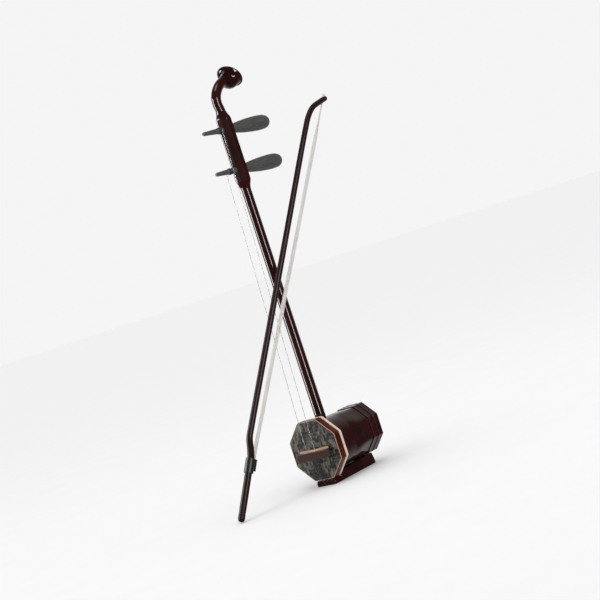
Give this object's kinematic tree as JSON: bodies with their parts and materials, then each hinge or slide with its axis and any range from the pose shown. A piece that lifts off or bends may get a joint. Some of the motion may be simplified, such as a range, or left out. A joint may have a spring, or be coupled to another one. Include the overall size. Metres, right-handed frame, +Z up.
{
  "type": "erhu with bow",
  "caption": "Two-string fiddle with an octagonal snakeskin resonator, long neck, curled head, friction pegs and a bow threaded through its strings.",
  "frame": {"origin": "centre of the base's flat underside", "axes": "+Z up along the neck, -Y out of the snakeskin face, +Y to the sound window and the peg handles, +X to the right seen from the front"},
  "size_m": [0.1479, 0.4182, 0.7458],
  "materials": {
    "rosewood": "dark red-brown lacquer, high gloss",
    "band_wood": "red-brown lacquer, gloss",
    "bow_wood": "stained bamboo, satin",
    "cream": "cream binding, polished",
    "ebony": "grey-black, oiled matt",
    "snakeskin": "python skin, satin",
    "maple": "pale maple, unfinished",
    "felt": "brown felt",
    "black_plastic": "moulded, satin",
    "steel": "bright steel",
    "brass": "turned",
    "horsehair": "white bow hair"
  },
  "bodies": {
    "erhu": {"base": "rosewood", "tail_pin": "brass", "stave_1": "rosewood", "stave_2": "rosewood", "stave_3": "rosewood", "stave_4": "rosewood", "stave_5": "rosewood", "stave_6": "rosewood", "stave_7": "rosewood", "stave_8": "rosewood", "front_band": "band_wood", "cream_binding": "cream", "snakeskin": "snakeskin", "rear_ring": "rosewood", "sound_window": "rosewood", "neck": "rosewood", "head": "rosewood", "bridge": "maple", "felt_damper": "felt", "outer_string": "steel", "inner_string": "steel"},
    "lower_tuner": {"lower_peg": "ebony", "outer_winding": "steel"},
    "upper_tuner": {"upper_peg": "ebony", "inner_winding": "steel"},
    "bow": {"bow_stick": "bow_wood", "bow_hair": "horsehair", "hair_knot": "horsehair"},
    "bow_frog": {"frog": "black_plastic", "frog_nut": "brass"},
    "bow_screw": {"end_cap": "bow_wood", "tension_screw": "steel"}
  },
  "joints": [
    {"name": "lower_peg_turn", "type": "hinge", "parent": "erhu", "child": "lower_tuner", "pos_m": [0, -0.0213, 0.565], "axis": [0, 1, 0], "continuous": true},
    {"name": "upper_peg_turn", "type": "hinge", "parent": "erhu", "child": "upper_tuner", "pos_m": [0, -0.0213, 0.637], "axis": [0, 1, 0], "continuous": true},
    {"name": "bow_stroke", "type": "slide", "parent": "erhu", "child": "bow", "axis": [0.1808, 0.5152, 0.8378], "range_m": [0, 0.18]},
    {"name": "screw_turn", "type": "hinge", "parent": "bow", "child": "bow_screw", "pos_m": [-0.056, -0.235, 0.0064], "axis": [0.1928, 0.4606, 0.8664], "range_deg": [0, 1801]},
    {"name": "frog_slide", "type": "slide", "parent": "bow", "child": "bow_frog", "axis": [-0.1928, -0.4606, -0.8664], "range_m": [0, 0.004]}
  ],
  "couplings": [
    {"joint": "screw_turn", "follows": "frog_slide", "rad_per_m": 7854}
  ]
}
